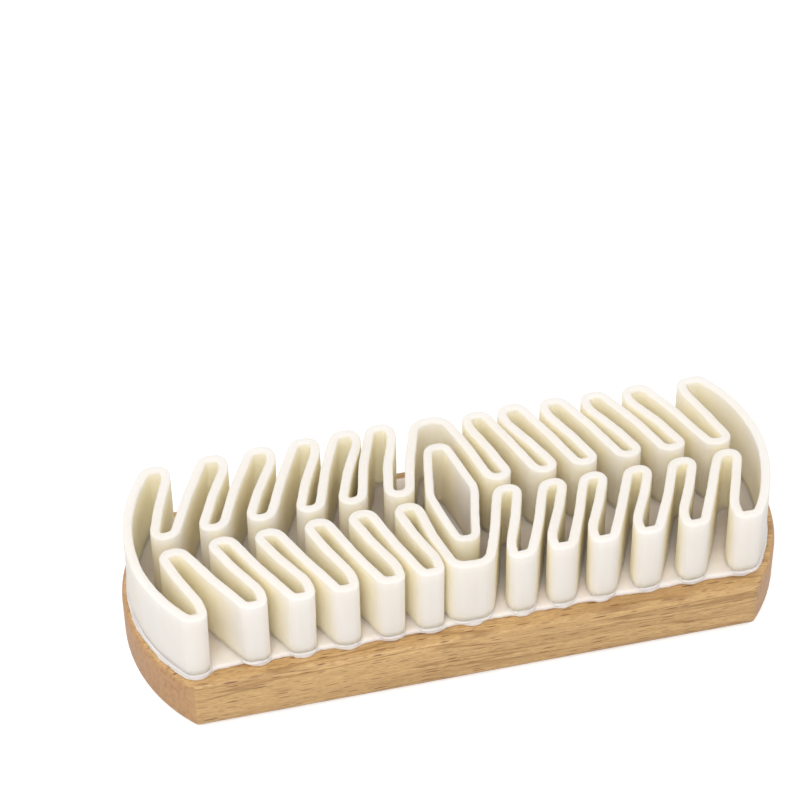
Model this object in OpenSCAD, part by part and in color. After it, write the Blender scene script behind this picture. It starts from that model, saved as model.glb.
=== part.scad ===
// Suede brush: folded crepe rubber standing on a wooden back, lying on its back.
// X runs along the brush, Y across it, and Z up from the resting face of the wood.

/* [Wooden back] */
// Length of the wooden back, over its bowed ends
block_l = 125; // [115:1:150]
// Width of the wooden back
block_w = 46; // [42:0.5:56]
// Thickness of the wooden back
block_t = 11.3; // [9:0.1:18]
// Radius of the bow of each end, seen from above
end_bow_r = 33; // [30:1:60]
// Radius of the four upright corners
corner_r = 3; // [1:0.5:7]
// Rounding of the long edges of the palm side
palm_edge_r = 2.5; // [1:0.25:4]
// Rounding of the bowed edges of the palm side
palm_end_r = 1.5; // [0.5:0.25:2.5]
// Rounding of the long edges of the face that carries the rubber
face_edge_r = 1.2; // [0.4:0.1:2]
// Rounding of the bowed edges of that face
face_end_r = 0.6; // [0.3:0.1:1]

/* [Latex bed] */
// Thickness of the latex bed under the rubber
bed_t = 1; // [0.6:0.1:2]
// How far the bed runs out past the end walls of the strip
bed_lip = 0.6; // [0.3:0.1:1]
// Radius of the swell of the bed round each fold
bed_swell_r = 4.4; // [4:0.1:5]
// How far each swell runs out past the face of its fold
bed_swell = 1.1; // [0.4:0.1:1.5]

/* [Folded strip] */
// Height of the strip and the loop above the bed
strip_h = 14.7; // [8:0.1:22]
// Wall of the strip
strip_t = 1.8; // [1.2:0.1:2]
// Inner turns in each half of each row
turns = 6; // [5:1:7]
// Distance of the fold faces from the long edges of the wood
fold_inset = 3.5; // [2.5:0.1:5]
// Distance of the end walls from the ends of the wood
end_inset = 1.7; // [1.2:0.1:3]
// Lane between the two rows of inner turns
lane_w = 2.2; // [1:0.1:4]
// Distance of the first inner turn from the middle of the brush
middle_room = 9.2; // [9:0.1:10.5]
// Distance of the last inner turn from the outside of the end wall
end_room = 8.5; // [8:0.1:10]
// Gap between neighbouring inner turns
turn_gap = 3; // [2.5:0.1:3.2]
// Difference between the mean pitch and the width of a fold
fold_gap = 3.2; // [2.4:0.1:3.4]
// Lean towards the middle of the folds far away from it
lean_far = 6.6; // [4:0.1:7]
// What the first fold next to the middle lacks of that lean
lean_loss = 1.8; // [0:0.1:3]
// Depth of the straight wall on the middle-facing side of each fold
knee_depth = 3.2; // [2:0.1:5]
// Radius of the bend where that wall starts to lean
knee_r = 3; // [1:0.5:5]
// Width of the fold at the middle of each row
middle_fold_w = 8.2; // [7:0.1:9]
// Width of the fold at each end of a row
end_fold_w = 5.6; // [5:0.1:7]
// Outside corner radius of a fold on its middle-facing side
fold_inner_r = 1.8; // [1:0.1:2.6]
// Outside corner radius of a fold on its other side
fold_outer_r = 2.5; // [1:0.1:2.6]
// Outside corner radius where the end walls meet their folds
end_fold_r = 5; // [3:0.1:6]

/* [Centre loop] */
// Length of the loop, across the brush
loop_l = 26; // [22:0.5:29]
// Width of the loop over its two side corners
loop_w = 10.2; // [9:0.1:10.4]
// Width of the loop across its blunt ends
loop_tip_w = 4.8; // [4:0.1:6]
// Outside radius of the two side corners of the loop
loop_side_r = 2.5; // [1:0.1:4]
// Wall of the loop
loop_t = 1.6; // [1:0.1:1.8]

/* [Hidden] */
beech = "#d9ac72";
latex = "#f3ece0";
crepe = "#f7f3ea";
// Segments of a rounded corner, of a bowed end and of a rounded edge
corner_n = 6;
bow_n = 24;
edge_n = 6;

// Heights of the layers
bed_z = block_t;
strip_z = bed_z + bed_t;

// The bowed ends of all pieces share one centre
bow_x = block_l / 2 - end_bow_r;

// Outside of the strip, and its inner turns and folds, which all have one mean pitch
strip_y = block_w / 2 - fold_inset;
strip_r = end_bow_r - end_inset;
last_turn_x = block_l / 2 - end_inset - end_room;
pitch = (last_turn_x - middle_room) / (turns - 1);
fold_w = pitch - fold_gap;
turn_w = pitch - turn_gap;

function unit(v) = v / norm(v);

// Arc of radius r that rounds the corner b between a and c, kept within the shorter side
function corner_arc(a, b, c, r) =
    let (u = unit(a - b), v = unit(c - b), half = acos(max(-1, min(1, u * v))) / 2,
         fit = min(r, 0.49 * min(norm(a - b), norm(c - b)) * tan(half)))
    r <= 0 || half > 89.5 ? [b] :
    let (centre = b + unit(u + v) * fit / sin(half),
         s = b + u * fit / tan(half) - centre,
         e = b + v * fit / tan(half) - centre,
         from = atan2(s.y, s.x), turn = atan2(cross(s, e), s * e))
    [for (i = [0:corner_n]) centre + fit * [cos(from + turn * i / corner_n),
                                            sin(from + turn * i / corner_n)]];

// Closed path of [x, y, radius] corners, as points
function rounded(path) =
    let (n = len(path))
    [for (i = [0:n - 1])
        let (a = path[(i + n - 1) % n], b = path[i], c = path[(i + 1) % n])
        each corner_arc([a.x, a.y], [b.x, b.y], [c.x, c.y], b.z)];

// The same path turned half a turn about the middle of the brush
function opposite(path) = [for (p = path) [-p.x, -p.y, p.z]];

// Where a bow of radius r meets the height y
function bow_end_x(r, y) = bow_x + sqrt(r * r - y * y);

// Bow of radius r from -y to y, without its two ends
function bowed_end(r, y) =
    let (half = asin(y / r))
    [for (i = [1:bow_n - 1])
        let (a = half * (2 * i / bow_n - 1)) [bow_x + r * cos(a), r * sin(a), 0]];

// Places of the inner turns and of the outer folds, counted from the middle
function turn_x(k) = middle_room + pitch * (k - 1);
function lean(k) = lean_far - lean_loss / (k * k);
function fold_x(k) = k == 0 ? 0 : turn_x(k) + pitch / 2 - lean(k);

// The same path turned over the middle of the brush from one half to the other
function mirrored(path) = [for (i = [len(path) - 1:-1:0]) [-path[i].x, path[i].y, path[i].z]];

// Two corners of a bend that is w wide outside and whose wall is centred on x, y
function bent(x, y, w, r) = let (a = (w - strip_t) / 2) [[x - a, y, r], [x + a, y, r]];

// Corners of a fold that leans over from its straight middle-facing side at in_x
function leaning_fold(in_x, out_x, y, r) =
    [[in_x, y + knee_depth, knee_r], [in_x, y, fold_inner_r - strip_t / 2], [out_x, y, r]];

// Middle of the strip's wall along one row and round one end
function half_line() =
    let (wall = strip_t / 2, y_fold = wall - strip_y, y_turn = -(lane_w + strip_t) / 2,
         r_turn = (turn_w - strip_t) / 2, r_outer = fold_outer_r - wall, r_end = strip_r - wall,
         end_x = bow_end_x(strip_r, strip_y) - end_fold_w + wall,
         half_fold = fold_w / 2 - wall,
         right = concat(
            [for (k = [1:turns - 1]) each concat(
                bent(turn_x(k), y_turn, turn_w, r_turn),
                leaning_fold(fold_x(k) - half_fold, fold_x(k) + half_fold, y_fold, r_outer))],
            bent(turn_x(turns), y_turn, turn_w, r_turn),
            leaning_fold(end_x, bow_end_x(r_end, -y_fold), y_fold, end_fold_r - wall)))
    concat(
        mirrored(right),
        bent(0, y_fold, middle_fold_w, r_outer),
        right,
        bowed_end(r_end, -y_fold));

// Corner b of a path moved out by d to the right, its radius grown or shrunk to match
function pushed(a, b, c, d) =
    let (u = unit([b.x - a.x, b.y - a.y]), v = unit([c.x - b.x, c.y - b.y]),
         m = [u.y + v.y, -u.x - v.x] / (1 + u * v))
    [b.x + m.x * d, b.y + m.y * d, b.z == 0 ? 0 : b.z + sign(cross(u, v)) * d];

// Closed path moved out by d all round, as points
function skin(path, d) =
    let (n = len(path))
    rounded([for (i = [0:n - 1]) pushed(path[(i + n - 1) % n], path[i], path[(i + 1) % n], d)]);

// Outline of the wooden back, drawn in by in_side along its sides and in_end at its ends
function block_outline(in_side, in_end) =
    let (half_w = block_w / 2 - in_side, r = end_bow_r - in_end, x = bow_end_x(r, half_w),
         half = concat([[x, -half_w, corner_r]], bowed_end(r, half_w), [[x, half_w, corner_r]]))
    rounded(concat(half, opposite(half)));

// How far a rounding of radius r draws the outline in, at a height h above its flat
function drawn_in(r, h) = h >= r ? 0 : r - sqrt(r * r - (r - h) * (r - h));

// Skin that joins equal rings of points, closed by the first and the last
module stacked_rings(rings) {
    n = len(rings[0]);
    m = len(rings);
    polyhedron(
        points = [for (ring = rings) each ring],
        faces = concat(
            [[for (i = [0:n - 1]) i]],
            [[for (i = [n - 1:-1:0]) (m - 1) * n + i]],
            [for (j = [0:m - 2], i = [0:n - 1])
                let (a = j * n + i, b = j * n + (i + 1) % n) each [[a, a + n, b], [b, a + n, b + n]]]),
        convexity = 4);
}

// Beech block with a flat palm side, softened along its long edges
module wooden_back() {
    low = [for (i = [0:edge_n]) palm_edge_r * (1 - cos(90 * i / edge_n))];
    high = [for (i = [edge_n:-1:0]) face_edge_r * (1 - cos(90 * i / edge_n))];
    color(beech) stacked_rings(concat(
        [for (z = low) [for (p = block_outline(drawn_in(palm_edge_r, z), drawn_in(palm_end_r, z)))
            [p.x, p.y, z]]],
        [for (h = high) [for (p = block_outline(drawn_in(face_edge_r, h), drawn_in(face_end_r, h)))
            [p.x, p.y, block_t - h]]]));
}

// Thin sheet of latex that swells out round the foot of every fold
module latex_bed() {
    half_w = strip_y - strip_t / 2;
    r = strip_r + bed_lip;
    x = bow_end_x(r, half_w);
    half = concat([[x, -half_w, end_fold_r]], bowed_end(r, half_w), [[x, half_w, end_fold_r]]);
    color(latex) translate([0, 0, bed_z]) linear_extrude(bed_t) {
        polygon(rounded(concat(half, opposite(half))));
        for (k = [-turns:turns], side = [-1, 1])
            translate([sign(k) * fold_x(abs(k)), side * (strip_y + bed_swell - bed_swell_r)])
                circle(r = bed_swell_r, $fn = bow_n);
    }
}

// One endless strip of crepe rubber, folded to and fro round the whole brush
module outer_strip() {
    line = concat(half_line(), opposite(half_line()));
    color(crepe) translate([0, 0, strip_z]) linear_extrude(strip_h, convexity = 10)
        difference() {
            polygon(skin(line, strip_t / 2));
            polygon(skin(line, -strip_t / 2));
        }
}

// Outside of the loop, a blunt diamond, as [x, y, radius] corners
function loop_line() =
    let (tip = loop_tip_w / 2, half_l = loop_l / 2,
         half = [[tip, -half_l, tip], [loop_w / 2, 0, loop_side_r], [tip, half_l, tip]])
    concat(half, opposite(half));

// Loop of the same rubber that stands by itself in the middle
module centre_loop() {
    color(crepe) translate([0, 0, strip_z]) linear_extrude(strip_h)
        difference() {
            polygon(skin(loop_line(), 0));
            polygon(skin(loop_line(), -loop_t));
        }
}

wooden_back();
latex_bed();
outer_strip();
centre_loop();
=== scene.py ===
import bpy
import math
import numpy as np
from mathutils import Matrix, Vector, noise


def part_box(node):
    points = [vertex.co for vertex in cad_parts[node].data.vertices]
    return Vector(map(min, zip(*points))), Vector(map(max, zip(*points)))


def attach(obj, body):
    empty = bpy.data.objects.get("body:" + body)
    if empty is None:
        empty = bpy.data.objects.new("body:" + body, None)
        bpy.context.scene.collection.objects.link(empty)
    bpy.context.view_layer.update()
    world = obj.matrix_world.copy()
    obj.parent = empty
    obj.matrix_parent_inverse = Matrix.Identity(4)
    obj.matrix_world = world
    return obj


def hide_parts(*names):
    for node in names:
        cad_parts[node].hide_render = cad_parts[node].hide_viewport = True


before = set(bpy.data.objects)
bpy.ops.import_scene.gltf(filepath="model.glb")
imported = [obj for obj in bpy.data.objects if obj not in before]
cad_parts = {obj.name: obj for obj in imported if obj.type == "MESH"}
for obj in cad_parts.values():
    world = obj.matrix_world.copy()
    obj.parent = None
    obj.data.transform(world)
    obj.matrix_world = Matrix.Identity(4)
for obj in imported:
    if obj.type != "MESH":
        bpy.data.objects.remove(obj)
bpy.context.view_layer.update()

print("frame loaded:", len(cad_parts), "nodes")

mm = 0.001
scene = bpy.context.scene
scene.view_settings.view_transform = "Standard"


# Small helpers: colours as seen on screen, node trees, meshes

def screenColour(r, g, b):
    def linear(v):
        v = v / 255
        return v / 12.92 if v <= 0.04045 else ((v + 0.055) / 1.055) ** 2.4
    return (linear(r), linear(g), linear(b), 1.0)


def newMaterial(name):
    material = bpy.data.materials.new(name)
    material.use_nodes = True
    tree = material.node_tree
    tree.nodes.clear()
    shader = tree.nodes.new("ShaderNodeBsdfPrincipled")
    output = tree.nodes.new("ShaderNodeOutputMaterial")
    tree.links.new(shader.outputs["BSDF"], output.inputs["Surface"])
    return material, tree, shader


def addNode(tree, kind, **values):
    node = tree.nodes.new("ShaderNode" + kind)
    for key, value in values.items():
        if key in node.inputs:
            node.inputs[key].default_value = value
        else:
            setattr(node, key, value)
    return node


def stretched(tree, scale):
    place = addNode(tree, "TexCoord")
    mapping = addNode(tree, "Mapping")
    mapping.inputs["Scale"].default_value = scale
    tree.links.new(place.outputs["Object"], mapping.inputs["Vector"])
    return mapping.outputs["Vector"]


def noiseOn(tree, scale, detail):
    # The scale is how many times the noise changes in a metre, along X, Y and Z
    texture = addNode(tree, "TexNoise", Detail=detail, Roughness=0.55)
    texture.inputs["Scale"].default_value = 1.0
    tree.links.new(stretched(tree, scale), texture.inputs["Vector"])
    return texture.outputs["Fac"]


def remap(tree, value, low, high, outLow=0.0, outHigh=1.0):
    node = addNode(tree, "MapRange")
    node.inputs["From Min"].default_value = low
    node.inputs["From Max"].default_value = high
    node.inputs["To Min"].default_value = outLow
    node.inputs["To Max"].default_value = outHigh
    tree.links.new(value, node.inputs["Value"])
    return node.outputs["Result"]


def blendColour(tree, amount, first, second):
    node = tree.nodes.new("ShaderNodeMix")
    node.data_type = "RGBA"
    for socket, value in ((node.inputs[0], amount), (node.inputs[6], first), (node.inputs[7], second)):
        if hasattr(value, "is_linked"):
            tree.links.new(value, socket)
        else:
            socket.default_value = value
    return node.outputs[2]


def bumpFrom(tree, height, distance, strength=1.0, below=None):
    node = addNode(tree, "Bump")
    node.inputs["Distance"].default_value = distance
    node.inputs["Strength"].default_value = strength
    tree.links.new(height, node.inputs["Height"])
    if below is not None:
        tree.links.new(below, node.inputs["Normal"])
    return node.outputs["Normal"]


def meshPiece(name, points, faces, material, node):
    mesh = bpy.data.meshes.new(name)
    mesh.from_pydata([tuple(p) for p in points], [], [tuple(f) for f in faces])
    mesh.validate()
    mesh.materials.append(material)
    mesh.shade_smooth()
    piece = bpy.data.objects.new(name, mesh)
    scene.collection.objects.link(piece)
    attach(piece, "root")
    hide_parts(node)
    print("made", name, len(mesh.polygons), "faces")


def ringFaces(rings, around, closed=False):
    faces = []
    last = rings if closed else rings - 1
    for j in range(last):
        for i in range(around):
            a, b = j * around + i, j * around + (i + 1) % around
            up = ((j + 1) % rings) * around
            faces.append((a, b, up + (i + 1) % around, up + i))
    return faces


# Plan outlines, in millimetres

def cornerArc(before, corner, after, radius, steps):
    u = (before - corner) / np.linalg.norm(before - corner)
    v = (after - corner) / np.linalg.norm(after - corner)
    half = math.acos(max(-1.0, min(1.0, float(u @ v)))) / 2
    if radius <= 0 or half > 1.56:
        return [corner]
    reach = 0.49 * min(np.linalg.norm(before - corner), np.linalg.norm(after - corner))
    radius = min(radius, reach * math.tan(half))
    centre = corner + (u + v) / np.linalg.norm(u + v) * radius / math.sin(half)
    start = corner + u * radius / math.tan(half) - centre
    end = corner + v * radius / math.tan(half) - centre
    first = math.atan2(start[1], start[0])
    turn = math.atan2(start[0] * end[1] - start[1] * end[0], float(start @ end))
    angles = [first + turn * i / steps for i in range(steps + 1)]
    return [centre + radius * np.array([math.cos(a), math.sin(a)]) for a in angles]


def roundedPath(corners, steps=8):
    points = []
    for i, (x, y, radius) in enumerate(corners):
        before = np.array(corners[i - 1][:2])
        after = np.array(corners[(i + 1) % len(corners)][:2])
        points += cornerArc(before, np.array([x, y]), after, radius, steps)
    return np.array(points)


def evenly(points, step):
    closed = np.vstack([points, points[:1]])
    along = np.concatenate([[0], np.cumsum(np.linalg.norm(np.diff(closed, axis=0), axis=1))])
    count = int(along[-1] / step)
    places = np.linspace(0, along[-1], count, endpoint=False)
    return np.stack([np.interp(places, along, closed[:, k]) for k in (0, 1)], axis=1)


def smoothed(values, rounds):
    for _ in range(rounds):
        values = (np.roll(values, 1, axis=0) + 2 * values + np.roll(values, -1, axis=0)) / 4
    return values


def outwardNormals(points):
    tangent = np.roll(points, -1, axis=0) - np.roll(points, 1, axis=0)
    tangent /= np.linalg.norm(tangent, axis=1)[:, None]
    return np.stack([tangent[:, 1], -tangent[:, 0]], axis=1)


# Boxes of the four solids, read from the frame, in millimetres

woodLow, woodHigh = [np.array(c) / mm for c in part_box("wooden_back")]
bedLow, bedHigh = [np.array(c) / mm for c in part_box("latex_bed")]
stripLow, stripHigh = [np.array(c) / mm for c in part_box("outer_strip")]
loopLow, loopHigh = [np.array(c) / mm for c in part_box("centre_loop")]
footDepth = 0.4  # how deep the rubber stands in the latex


# Camera

camera = {
    "azimuth": -13.82, "elevation": 44.0,
    "position": (-92.4, -368.3, 410.4),  # millimetres
    "focal": 131.1, "sensor": 36, "shiftX": -0.0524, "shiftY": 0.0319,
}


def makeCamera(c):
    a, e = math.radians(c["azimuth"]), math.radians(c["elevation"])
    back = Vector((math.sin(a) * math.cos(e), -math.cos(a) * math.cos(e), math.sin(e)))
    right = Vector((math.cos(a), math.sin(a), 0))
    up = back.cross(right)
    data = bpy.data.cameras.new("camera")
    data.lens, data.sensor_width = c["focal"], c["sensor"]
    data.shift_x, data.shift_y = c["shiftX"], c["shiftY"]
    data.clip_start, data.clip_end = 0.01, 20
    view = bpy.data.objects.new("camera", data)
    turn = Matrix((right, up, back)).transposed().to_4x4()
    view.matrix_world = Matrix.Translation(Vector(c["position"]) * mm) @ turn
    scene.collection.objects.link(view)
    scene.camera = view


makeCamera(camera)
print("camera set")


# Beech

beech = {
    "light": screenColour(221, 183, 127), "mid": screenColour(192, 152, 98),
    "dark": screenColour(150, 110, 62), "fleck": screenColour(120, 78, 40),
    "pore": screenColour(160, 114, 72), "endGrain": screenColour(188, 142, 96), "roughness": 0.42,
    "coat": 0.12, "coatRoughness": 0.3,
    "sideShear": 1.6,  # how much faster the grain runs down the sides than across the faces
    "sway": 2.2,  # how far the grain wanders to the side, in millimetres
    # How long and how wide the streaks of each kind are, in millimetres
    "fibre": (5, 0.3), "band": (70, 5), "speckle": (1.3, 0.2), "ring": (90, 7),
    # Cell of one fleck and half the size of the fleck, along the grain and across it, in millimetres
    "fleckCell": (4.6, 1.5), "fleckHalf": (1.4, 0.2), "fleckDepth": 0.06,
    "ringWidth": 0.03, "ringDepth": 0.75,  # the few long dark lines between years of growth
}


def grainPlane(tree, b):
    # Plane of the grain: X along it, and across it Y, to which the sides add Z
    place = addNode(tree, "TexCoord")
    split = addNode(tree, "SeparateXYZ")
    tree.links.new(place.outputs["Object"], split.inputs[0])
    facing = addNode(tree, "NewGeometry")
    turn = addNode(tree, "SeparateXYZ")
    tree.links.new(facing.outputs["Normal"], turn.inputs[0])
    onSide = addNode(tree, "Math", operation="COMPARE")
    tree.links.new(turn.outputs["Z"], onSide.inputs[0])
    onSide.inputs[1].default_value = 0.0
    onSide.inputs[2].default_value = 0.7
    across = addNode(tree, "Math", operation="MULTIPLY_ADD")
    tree.links.new(split.outputs["Z"], across.inputs[0])
    tree.links.new(remap(tree, onSide.outputs[0], 0, 1, 0, b["sideShear"]), across.inputs[1])
    tree.links.new(split.outputs["Y"], across.inputs[2])
    sway = addNode(tree, "Math", operation="MULTIPLY_ADD")
    tree.links.new(noiseOn(tree, (28, 60, 60), 1), sway.inputs[0])
    sway.inputs[1].default_value = b["sway"] * mm
    tree.links.new(across.outputs[0], sway.inputs[2])
    plane = addNode(tree, "CombineXYZ")
    tree.links.new(split.outputs["X"], plane.inputs["X"])
    tree.links.new(sway.outputs[0], plane.inputs["Y"])
    return plane.outputs[0]


def vectorMath(tree, operation, first, second):
    node = addNode(tree, "VectorMath", operation=operation)
    for socket, value in zip(node.inputs, (first, second)):
        if hasattr(value, "is_linked"):
            tree.links.new(value, socket)
        else:
            socket.default_value = value
    return node


def grainNoise(tree, plane, size, detail):
    along, across = size
    texture = addNode(tree, "TexNoise", Detail=detail, Roughness=0.6)
    texture.inputs["Scale"].default_value = 1.0
    scaled = vectorMath(tree, "MULTIPLY", plane, (1 / (along * mm), 1 / (across * mm), 1))
    tree.links.new(scaled.outputs[0], texture.inputs["Vector"])
    return texture.outputs["Fac"]


def fleckMask(tree, plane, b):
    # One short dash in each cell, longer or shorter at random
    (cellX, cellY), (halfX, halfY) = b["fleckCell"], b["fleckHalf"]
    scaled = vectorMath(tree, "MULTIPLY", plane, (1 / (cellX * mm), 1 / (cellY * mm), 1)).outputs[0]
    cells = addNode(tree, "TexVoronoi", voronoi_dimensions="2D")
    cells.inputs["Scale"].default_value = 1.0
    tree.links.new(scaled, cells.inputs["Vector"])
    offset = vectorMath(tree, "SUBTRACT", scaled, cells.outputs["Position"]).outputs[0]
    shaped = vectorMath(tree, "MULTIPLY", offset, (cellX / halfX, cellY / halfY, 0)).outputs[0]
    distance = addNode(tree, "VectorMath", operation="LENGTH")
    tree.links.new(shaped, distance.inputs[0])
    chance = addNode(tree, "SeparateXYZ")
    tree.links.new(cells.outputs["Color"], chance.inputs[0])
    reach = remap(tree, chance.outputs["X"], 0, 1, 0.35, 1.25)
    inside = addNode(tree, "Math", operation="SUBTRACT")
    tree.links.new(reach, inside.inputs[0])
    tree.links.new(distance.outputs["Value"], inside.inputs[1])
    strength = addNode(tree, "Math", operation="MULTIPLY")
    tree.links.new(remap(tree, inside.outputs[0], 0, 0.45), strength.inputs[0])
    tree.links.new(remap(tree, chance.outputs["Y"], 0, 1, 0.35, 1.0), strength.inputs[1])
    return strength.outputs[0]


def makeBeech(b):
    material, tree, shader = newMaterial("lacquered_beech")
    plane = grainPlane(tree, b)
    fibres = grainNoise(tree, plane, b["fibre"], 5)
    bands = grainNoise(tree, plane, b["band"], 2)
    speckle = grainNoise(tree, plane, b["speckle"], 3)
    fleck = fleckMask(tree, plane, b)
    fromRing = addNode(tree, "Math", operation="SUBTRACT")
    tree.links.new(grainNoise(tree, plane, b["ring"], 2), fromRing.inputs[0])
    fromRing.inputs[1].default_value = 0.5
    ringGap = addNode(tree, "Math", operation="ABSOLUTE")
    tree.links.new(fromRing.outputs[0], ringGap.inputs[0])
    ring = remap(tree, ringGap.outputs[0], 0, b["ringWidth"], b["ringDepth"], 0)
    colour = blendColour(tree, remap(tree, fibres, 0.38, 0.62), b["mid"], b["light"])
    colour = blendColour(tree, remap(tree, bands, 0.42, 0.72, 0, 0.5), colour, b["dark"])
    colour = blendColour(tree, remap(tree, speckle, 0.48, 0.72, 0, 0.7), colour, b["dark"])
    colour = blendColour(tree, ring, colour, b["dark"])
    colour = blendColour(tree, fleck, colour, b["fleck"])
    # Faces that look along the grain show pores in place of streaks
    facing = addNode(tree, "NewGeometry")
    split = addNode(tree, "SeparateXYZ")
    tree.links.new(facing.outputs["Normal"], split.inputs[0])
    along = addNode(tree, "Math", operation="ABSOLUTE")
    tree.links.new(split.outputs["X"], along.inputs[0])
    pores = noiseOn(tree, (900, 1500, 800), 4)
    rings = noiseOn(tree, (60, 130, 420), 2)
    endColour = blendColour(tree, remap(tree, pores, 0.45, 0.72), b["endGrain"], b["pore"])
    endColour = blendColour(tree, remap(tree, rings, 0.4, 0.65, 0, 0.35), endColour, b["mid"])
    colour = blendColour(tree, remap(tree, along.outputs[0], 0.5, 0.8), colour, endColour)
    tree.links.new(colour, shader.inputs["Base Color"])
    tree.links.new(remap(tree, fibres, 0.3, 0.7, b["roughness"] - 0.06, b["roughness"] + 0.08),
                   shader.inputs["Roughness"])
    shader.inputs["Coat Weight"].default_value = b["coat"]
    shader.inputs["Coat Roughness"].default_value = b["coatRoughness"]
    fine = bumpFrom(tree, fibres, 0.05 * mm)
    tree.links.new(bumpFrom(tree, fleck, b["fleckDepth"] * mm, -0.6, fine), shader.inputs["Normal"])
    return material


# Crepe rubber and latex

crepe = {
    "colour": screenColour(235, 229, 222), "warm": screenColour(233, 224, 212), "roughness": 0.5,
    # Painted bounce light: the rubber is painted lighter and warmer where another wall stands within this
    # many millimetres
    "paintedGapLight": screenColour(255, 243, 213), "paintedLightReach": 6.0,
    "soft": 0.6, "softReach": (5.0, 4.8, 4.5),  # millimetres that light spreads in the rubber
    "lineDepth": 0.09, "grainDepth": 0.03,
}
latex = {
    "colour": screenColour(238, 230, 223), "blush": screenColour(232, 219, 212), "roughness": 0.42,
    "soft": 0.25, "softReach": (2.0, 1.3, 0.9), "lumpDepth": 0.12,
}


def makeCrepe(c):
    material, tree, shader = newMaterial("crepe_rubber")
    upright = noiseOn(tree, (1100, 1100, 35), 3)
    clouds = noiseOn(tree, (90, 90, 60), 2)
    colour = blendColour(tree, remap(tree, clouds, 0.4, 0.75, 0, 0.7), c["colour"], c["warm"])
    colour = blendColour(tree, remap(tree, upright, 0.5, 0.75, 0, 0.25), colour, c["warm"])
    # Painted bounce light: where ambient occlusion finds walls close by, down in the gaps, the colour
    # turns lighter and warmer
    paintedLightMask = addNode(tree, "AmbientOcclusion", samples=8)
    paintedLightMask.inputs["Distance"].default_value = c["paintedLightReach"] * mm
    colour = blendColour(tree, remap(tree, paintedLightMask.outputs["AO"], 0.3, 0.9), c["paintedGapLight"], colour)
    tree.links.new(colour, shader.inputs["Base Color"])
    tree.links.new(remap(tree, upright, 0.3, 0.7, c["roughness"] - 0.08, c["roughness"] + 0.1),
                   shader.inputs["Roughness"])
    shader.inputs["Subsurface Weight"].default_value = c["soft"]
    shader.inputs["Subsurface Radius"].default_value = c["softReach"]
    shader.inputs["Subsurface Scale"].default_value = mm
    shader.inputs["IOR"].default_value = 1.45
    lines = bumpFrom(tree, upright, c["lineDepth"] * mm, 0.8)
    grain = noiseOn(tree, (2600, 2600, 2600), 2)
    tree.links.new(bumpFrom(tree, grain, c["grainDepth"] * mm, 0.7, lines), shader.inputs["Normal"])
    return material


def makeLatex(c):
    material, tree, shader = newMaterial("dried_latex")
    clouds = noiseOn(tree, (180, 180, 180), 3)
    tree.links.new(blendColour(tree, remap(tree, clouds, 0.4, 0.7), c["colour"], c["blush"]),
                   shader.inputs["Base Color"])
    tree.links.new(remap(tree, clouds, 0.3, 0.7, c["roughness"] - 0.08, c["roughness"] + 0.12),
                   shader.inputs["Roughness"])
    shader.inputs["Subsurface Weight"].default_value = c["soft"]
    shader.inputs["Subsurface Radius"].default_value = c["softReach"]
    shader.inputs["Subsurface Scale"].default_value = mm
    lumps = noiseOn(tree, (500, 500, 500), 3)
    tree.links.new(bumpFrom(tree, lumps, c["lumpDepth"] * mm, 0.7), shader.inputs["Normal"])
    return material


beechWood = makeBeech(beech)
crepeRubber = makeCrepe(crepe)
driedLatex = makeLatex(latex)
print("materials made")


# Wooden back: rings of one outline, drawn in along the rounded edges

back = {
    "bowRadius": 33.0, "cornerRadius": 3.0, "bowSteps": 48, "cornerSteps": 12, "edgeSteps": 8,
    "palmSide": 2.5, "palmEnd": 1.5, "faceSide": 1.5, "faceEnd": 1.0,
    "flatRim": 0.5,  # how far within the roundings the large faces start
}
bowCentre = woodHigh[0] - back["bowRadius"]


def bowCorners(radius, y, steps):
    half = math.asin(y / radius)
    angles = [half * (2 * i / steps - 1) for i in range(1, steps)]
    return [(bowCentre + radius * math.cos(a), radius * math.sin(a), 0) for a in angles]


def turned(corners):
    return [(-x, -y, r) for x, y, r in corners]


def backOutline(inSide, inEnd, b):
    halfWidth, radius = woodHigh[1] - inSide, b["bowRadius"] - inEnd
    x = bowCentre + math.sqrt(radius ** 2 - halfWidth ** 2)
    half = ([(x, -halfWidth, b["cornerRadius"])] + bowCorners(radius, halfWidth, b["bowSteps"])
            + [(x, halfWidth, b["cornerRadius"])])
    return roundedPath(half + turned(half), b["cornerSteps"])


def makeBack(b):
    low, high, steps = woodLow[2], woodHigh[2], b["edgeSteps"]
    around = len(backOutline(0, 0, b))
    drawnIn = [b[key] + b["flatRim"] for key in ("palmSide", "faceSide")]
    inner = [backOutline(inward, inward, b) for inward in drawnIn]
    # The innermost rings lie flat, so that the large faces shade flat
    rings = [np.column_stack([inner[0], np.full(around, low)])]
    for i in range(steps + 1):
        a = math.radians(90 * i / steps)
        side, end = b["palmSide"] * (1 - math.sin(a)), b["palmEnd"] * (1 - math.sin(a))
        z = low + b["palmSide"] * (1 - math.cos(a))
        rings.append(np.column_stack([backOutline(side, end, b), np.full(around, z)]))
    for i in range(steps + 1):
        a = math.radians(90 * i / steps)
        side, end = b["faceSide"] * (1 - math.cos(a)), b["faceEnd"] * (1 - math.cos(a))
        z = high - b["faceSide"] * (1 - math.sin(a))
        rings.append(np.column_stack([backOutline(side, end, b), np.full(around, z)]))
    rings.append(np.column_stack([inner[1], np.full(around, high)]))
    points = np.vstack(rings) * mm
    faces = ringFaces(len(rings), around)
    faces.append(tuple(range(around - 1, -1, -1)))
    faces.append(tuple((len(rings) - 1) * around + i for i in range(around)))
    meshPiece("wooden_back_beech", points, faces, beechWood, "wooden_back")


makeBack(back)


# Strip of crepe: a wall that follows one closed line, with soft top edges

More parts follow.
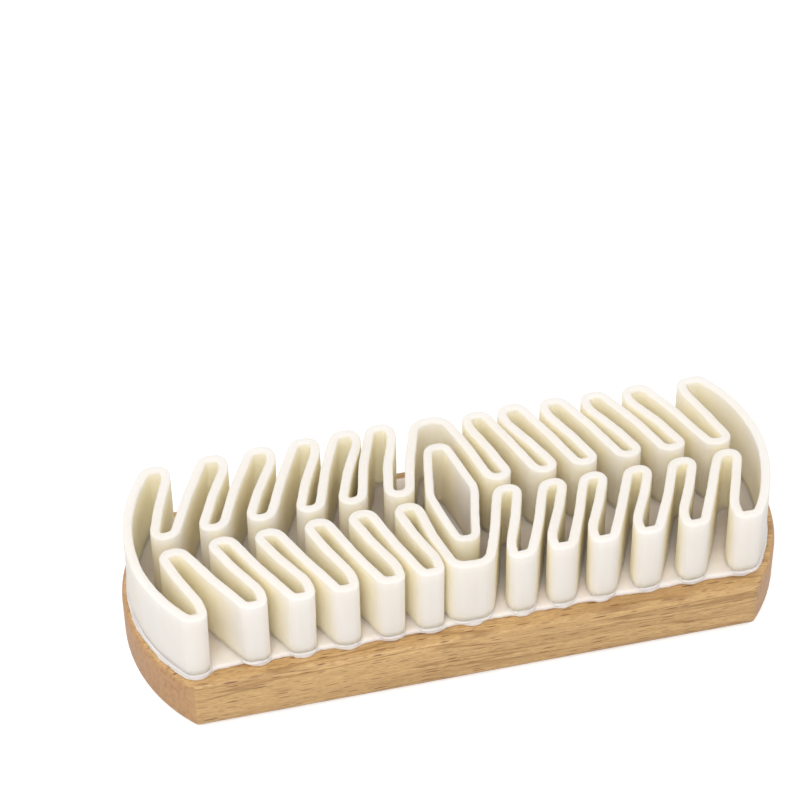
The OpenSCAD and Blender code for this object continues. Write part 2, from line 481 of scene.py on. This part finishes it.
strip = {
    "wall": 1.8, "turnWidth": 5.7, "endInsets": (1.3, 1.8),
    "firstTurn": 9.2, "turnPitch": 8.62, "leanFar": 6.6, "leanLoss": 1.8, "turns": 6, "endEdge": 48.4,
    "endRadius": 5.0, "kneeRadius": 8.0,
    # How far the legs between folds and turns bulge away from the middle, and how roundly
    "legBow": 0.3, "legRadius": 14.0,
}
# What the walls of the strip and of the loop share
rubber = {
    "step": 0.3, "rounds": 3, "levels": 9, "topRadius": 0.35, "topSteps": 4,
    # How far the tops lean, the faces wander and the rims dip, and how often in a millimetre
    "sway": 0.28, "swayRate": 0.09, "rough": 0.05, "roughRate": 0.9, "roughUp": 0.12,
    "dip": 0.12, "dipRate": 0.25,
}
# Each row runs from the left end to the right: how far its turns and folds stand from their even
# places along the brush, and how far from its middle line they reach, all in millimetres
nearRow = {
    "side": -1, "knee": 3.2, "innerRadius": 1.7, "outerRadius": 2.2, "middleRadius": 3.6,
    "foldWidth": 5.0, "middleFold": 8.2,
    "turnNudge": (-1.0, -0.4, -0.5, 0.2, -0.1, 0.1, 1.1, 1.2, 0.4, 0.4, 0.4, 0.6),
    "turnY": (2.1, 1.3, 1.3, 0.9, 0.7, 1.0, 0.6, 0.9, 1.2, 1.5, 1.6, 1.6),
    "foldNudge": (-1.2, 0.6, 0.6, 0.4, 0.3, 0.4, -0.7, 0.2, 0.6, 0.0, 0.0, 0.2, 0.6),
    "foldY": (20.6, 20.0, 20.0, 20.0, 19.9, 19.8, 19.6, 19.5, 19.4, 19.4, 19.4, 19.5, 19.6),
}
farRow = {
    "side": 1, "knee": 3.0, "innerRadius": 2.6, "outerRadius": 2.7, "middleRadius": 4.0,
    "foldWidth": 5.4, "middleFold": 7.3,
    "turnNudge": (-1.4, -1.1, -0.9, -0.2, -0.7, -0.3, 0.6, 0.8, 0.2, 0.4, 0.2, 0.2),
    "turnY": (0.3, 0.4, 0.9, 1.0, 1.1, 0.7, 0.7, 0.8, 0.8, 0.9, 0.5, -0.1),
    "foldNudge": (-1.4, 0.0, 0.3, 0.6, 0.0, -0.6, 0.3, 0.4, 0.2, -0.1, -0.4, -0.7, 0.4),
    "foldY": (19.6, 20.0, 20.1, 20.4, 20.5, 20.7, 20.3, 19.7, 20.0, 19.8, 19.5, 19.4, 19.0),
}


def bowArc(radius, fromY, toY, steps=40):
    first, last = math.asin(fromY / radius), math.asin(toY / radius)
    angles = [first + (last - first) * i / steps for i in range(1, steps)]
    return [(bowCentre + radius * math.cos(a), radius * math.sin(a), 0) for a in angles]


def endBow(s, out):
    return back["bowRadius"] - s["endInsets"][0 if out < 0 else 1] - s["wall"] / 2


def evenPlace(s, k):
    # Even places of turn k and of the fold beyond it, k being 1 next to the middle
    turn = s["firstTurn"] + s["turnPitch"] * (k - 1)
    return turn, turn + s["turnPitch"] / 2 - s["leanFar"] + s["leanLoss"] / k ** 2


def rowCorners(s, row):
    wall, count, side = s["wall"] / 2, s["turns"], row["side"]
    inner, outer = row["innerRadius"] - wall, row["outerRadius"] - wall
    half = (row["foldWidth"] - s["wall"]) / 2
    bends = []
    for k in range(-count, count + 1):
        out = -1 if k < 0 else 1
        nudge = row["foldNudge"][k + count]
        y = side * (row["foldY"][k + count] - wall)
        if k == 0:
            w = (row["middleFold"] - s["wall"]) / 2
            middle = row["middleRadius"] - wall
            fold = [(nudge - w, y, middle), (nudge + w, y, middle)]
        elif abs(k) == count:
            radius = endBow(s, out)
            farX = out * (bowCentre + math.sqrt(radius ** 2 - y ** 2))
            nearX = out * (s["endEdge"] + wall) + nudge
            fold = [(nearX, y - side * row["knee"], s["kneeRadius"]), (nearX, y, inner),
                    (farX, y, s["endRadius"] - wall)]
        else:
            x = out * evenPlace(s, abs(k))[1] + nudge
            fold = [(x - out * half, y - side * row["knee"], s["kneeRadius"]), (x - out * half, y, inner),
                    (x + out * half, y, outer)]
        bends.append(fold[::-1] if out < 0 else fold)
        if k < count:
            n = k + count
            x = evenPlace(s, k + 1)[0] if k >= 0 else -evenPlace(s, -k)[0]
            x += row["turnNudge"][n]
            y = side * (row["turnY"][n] + wall)
            w = (s["turnWidth"] - s["wall"]) / 2
            bends.append([(x - w, y, w), (x + w, y, w)])
    corners = list(bends[0])
    for bend in bends[1:]:
        (fromX, fromY, _), (toX, toY, _) = corners[-1], bend[0]
        middle = (fromX + toX) / 2
        corners.append((middle + math.copysign(s["legBow"], middle), (fromY + toY) / 2, s["legRadius"]))
        corners += bend
    return corners


def stripLine(s):
    near, far = rowCorners(s, nearRow), rowCorners(s, farRow)[::-1]
    rightEnd = bowArc(endBow(s, 1), near[-1][1], far[0][1])
    leftEnd = bowArc(endBow(s, -1), near[0][1], far[-1][1])[::-1]
    return near + rightEnd + far + [(-x, y, r) for x, y, r in leftEnd]


def wallLine(line, r):
    return smoothed(evenly(roundedPath(line), r["step"]), r["rounds"])


def wallSection(wall, low, high, r):
    # Distances outwards and heights, from the foot outside over the top to the foot inside
    half, radius, levels, steps = wall / 2, r["topRadius"], r["levels"], r["topSteps"]
    section = [(half, low + (high - radius - low) * i / (levels - 1)) for i in range(levels)]
    for i in range(1, steps + 1):
        a = math.radians(90 * i / steps)
        section.append((half - radius + radius * math.cos(a), high - radius + radius * math.sin(a)))
    return section + [(0.0, high)] + [(-out, z) for out, z in section[::-1]]


def makeWall(name, line, wall, low, high, node, r):
    points = wallLine(line, r)
    low -= footDepth
    normals = outwardNormals(points)
    # Nothing seeds these noise vectors, so the tops lean a little differently in each run
    sway = [noise.noise_vector(Vector((*(p * r["swayRate"]), 3.1)))[:2] for p in points]
    dips = [abs(noise.noise(Vector((*(p * r["dipRate"]), 7.7)))) for p in points]
    rings = []
    for out, z in wallSection(wall, low, high, r):
        ring = points + normals * out
        rough = [noise.noise(Vector((*(p * r["roughRate"]), z * r["roughUp"]))) for p in ring]
        rough = np.array(rough) * r["rough"] * (1 if out >= 0 else -1)
        ring = ring + np.array(sway) * r["sway"] * (z - low) / (high - low) + normals * rough[:, None]
        zs = np.full(len(ring), z)
        if z > high - r["topRadius"] - 0.01:
            zs = zs - r["dip"] * np.array(dips)
        rings.append(np.column_stack([ring, zs]))
    faces = ringFaces(len(rings), len(points), closed=True)
    meshPiece(name, np.vstack(rings) * mm, faces, crepeRubber, node)


makeWall("outer_strip_crepe", stripLine(strip), strip["wall"],
         stripLow[2], stripHigh[2], "outer_strip", rubber)


# Loop in the middle

loop = {"wall": 1.6, "length": 26.0, "width": 10.2, "tip": 4.8, "sideRadius": 5.0}


def loopLine(s):
    wall = s["wall"] / 2
    tip, halfLength, side = s["tip"] / 2 - wall, s["length"] / 2 - wall, s["width"] / 2 - wall
    half = [(tip, -halfLength, tip), (side, 0, s["sideRadius"]), (tip, halfLength, tip)]
    return half + turned(half)


makeWall("centre_loop_crepe", loopLine(loop), loop["wall"],
         loopLow[2], loopHigh[2], "centre_loop", rubber)


# Latex bed: a thin sheet that swells out round the foot of every fold

bed = {
    # How far the edge stands out from the folds and the end walls, and between the folds from the
    # middle of their wall
    "swellRadius": 3.4, "swell": 0.45, "lip": 0.35, "shore": 0.6,
    "endFolds": (-52.0, 51.5),  # where the latex swells out round the folds at both ends
    "step": 0.3, "rounds": 5, "endSteps": 80,
    "wave": 0.35, "waveSize": 3.0, "ripple": 0.14, "rippleSize": 0.8,
    # How far the rim is drawn in, and its height as a share of the thickness
    "rim": ((0.15, 0.0), (0.0, 0.2), (0.02, 0.55), (0.15, 0.85), (0.45, 0.98), (1.0, 1.0), (1.3, 1.0)),
}


def bedEdge(b, s, row):
    # The edge along one row, from the left end to the right
    base = row["foldY"][s["turns"]] - s["wall"] / 2 + b["shore"]
    folds = []
    for k in range(-s["turns"] + 1, s["turns"]):
        out = -1 if k < 0 else 1
        x = out * evenPlace(s, abs(k))[1] if k else 0.0
        folds.append((x + row["foldNudge"][k + s["turns"]], row["foldY"][k + s["turns"]]))
    folds += [(b["endFolds"][0], row["foldY"][0]), (b["endFolds"][1], row["foldY"][-1])]
    leftX, rightX = [bowCentre + math.sqrt((back["bowRadius"] - inset + b["lip"]) ** 2 - base ** 2)
                     for inset in s["endInsets"]]
    edge = []
    for x in np.arange(-leftX, rightX, b["step"]):
        y = base
        for foldX, foldY in folds:
            if abs(x - foldX) < b["swellRadius"]:
                reach = foldY + b["swell"] - b["swellRadius"]
                y = max(y, reach + math.sqrt(b["swellRadius"] ** 2 - (x - foldX) ** 2))
        edge.append((x, row["side"] * y))
    return edge


def bedOutline(b, s):
    near, far = bedEdge(b, s, nearRow), bedEdge(b, s, farRow)[::-1]
    rightRadius, leftRadius = [back["bowRadius"] - s["endInsets"][i] + b["lip"] for i in (1, 0)]
    rightEnd = [c[:2] for c in bowArc(rightRadius, near[-1][1], far[0][1], b["endSteps"])]
    leftEnd = [(-c[0], c[1]) for c in bowArc(leftRadius, near[0][1], far[-1][1], b["endSteps"])[::-1]]
    return smoothed(evenly(np.array(near + rightEnd + far + leftEnd), b["step"]), b["rounds"])


def waviness(points, size, seed):
    return np.array([noise.noise(Vector((p[0] / size, p[1] / size, seed))) for p in points])


bead = {
    # Section of the latex that has crept up the foot of a wall: outwards from the wall and upwards
    "section": ((-0.3, -0.3), (0.32, -0.3), (0.32, -0.12), (0.16, 0.0), (0.06, 0.09), (0.0, 0.2),
                (-0.3, 0.26)),
    "creep": 0.35, "creepSize": 2.2,  # how much its size varies, and over how many millimetres
    "step": 0.6,
}


def beadRings(points, wall, side, b, level):
    # One closed tube along the foot of a wall, on its outer side for side 1 and on its inner for -1
    normals = outwardNormals(points) * side
    creep = 1 + b["creep"] * waviness(points, b["creepSize"], 9.4 * side)
    rings = []
    for out, up in b["section"]:
        ring = points + normals * (wall / 2 + out * creep)[:, None]
        rings.append(np.column_stack([ring, level + up * creep]))
    faces = ringFaces(len(rings), len(points), closed=True)
    return np.vstack(rings), faces if side > 0 else [f[::-1] for f in faces]


def makeBed(b, s):
    outline = bedOutline(b, s)
    normals = outwardNormals(outline)
    waves = b["wave"] * waviness(outline, b["waveSize"], 1.3)
    ripples = b["ripple"] * waviness(outline, b["rippleSize"], 5.3)
    outline = outline + normals * (waves + ripples)[:, None]
    low, thick = bedLow[2], bedHigh[2] - bedLow[2]
    rings = [np.column_stack([outline - normals * inward, np.full(len(outline), low + share * thick)])
             for inward, share in b["rim"]]
    around = len(outline)
    faces = ringFaces(len(rings), around)
    faces.append(tuple(range(around - 1, -1, -1)))
    faces.append(tuple((len(rings) - 1) * around + i for i in range(around)))
    points = np.vstack(rings)
    for line, wall in ((stripLine(s), s["wall"]), (loopLine(loop), loop["wall"])):
        foot = evenly(wallLine(line, rubber), bead["step"])
        for side in (1, -1):
            more, moreFaces = beadRings(foot, wall, side, bead, bedHigh[2])
            faces += [tuple(i + len(points) for i in f) for f in moreFaces]
            points = np.vstack([points, more])
    meshPiece("latex_bed_sheet", points * mm, faces, driedLatex, "latex_bed")


makeBed(bed, strip)


# Floor, world and lamps

studio = {
    "floorHalf": 6.0,  # half the side of the floor, in metres
    "floorColour": screenColour(222, 222, 222), "floorGlow": 0.5,
    "zenith": 1.26, "horizon": 0.97,  # brightness of the sky that lights the object
    "keyPlace": (-0.4, -0.75, 1.0), "keySize": 0.8, "keyPower": 6.0,  # metres and watts
}


def makeFloor(s):
    half = s["floorHalf"]
    mesh = bpy.data.meshes.new("floor")
    corners = [(-half, -half, 0), (half, -half, 0), (half, half, 0), (-half, half, 0)]
    mesh.from_pydata(corners, [], [(0, 1, 2, 3)])
    material, tree, shader = newMaterial("pale_floor")
    shader.inputs["Base Color"].default_value = s["floorColour"]
    shader.inputs["Roughness"].default_value = 0.9
    shader.inputs["Emission Color"].default_value = (1, 1, 1, 1)
    # The camera sees the floor white, while the object gets only its bounce
    path = tree.nodes.new("ShaderNodeLightPath")
    tree.links.new(remap(tree, path.outputs["Is Camera Ray"], 0, 1, 0, s["floorGlow"]),
                   shader.inputs["Emission Strength"])
    mesh.materials.append(material)
    floor = bpy.data.objects.new("floor", mesh)
    scene.collection.objects.link(floor)


def makeWorld(s):
    world = bpy.data.worlds.new("studio")
    scene.world = world
    world.use_nodes = True
    tree = world.node_tree
    tree.nodes.clear()
    light = tree.nodes.new("ShaderNodeBackground")
    place = addNode(tree, "TexCoord")
    height = addNode(tree, "SeparateXYZ")
    tree.links.new(place.outputs["Generated"], height.inputs[0])
    strength = remap(tree, height.outputs["Z"], 0, 1, s["horizon"], s["zenith"])
    tree.links.new(strength, light.inputs["Strength"])
    white = tree.nodes.new("ShaderNodeBackground")
    white.inputs["Color"].default_value = (1, 1, 1, 1)
    white.inputs["Strength"].default_value = 1.0
    path = tree.nodes.new("ShaderNodeLightPath")
    mix = tree.nodes.new("ShaderNodeMixShader")
    output = tree.nodes.new("ShaderNodeOutputWorld")
    tree.links.new(path.outputs["Is Camera Ray"], mix.inputs[0])
    tree.links.new(light.outputs[0], mix.inputs[1])
    tree.links.new(white.outputs[0], mix.inputs[2])
    tree.links.new(mix.outputs[0], output.inputs["Surface"])


def makeLamp(name, place, size, power):
    data = bpy.data.lights.new(name, "AREA")
    data.shape, data.size, data.energy = "DISK", size, power
    lamp = bpy.data.objects.new(name, data)
    lamp.location = place
    lamp.rotation_euler = (Vector((0, 0, 0.01)) - Vector(place)).to_track_quat("-Z", "Y").to_euler()
    scene.collection.objects.link(lamp)


makeFloor(studio)
makeWorld(studio)
makeLamp("key", studio["keyPlace"], studio["keySize"], studio["keyPower"])
print("studio set")
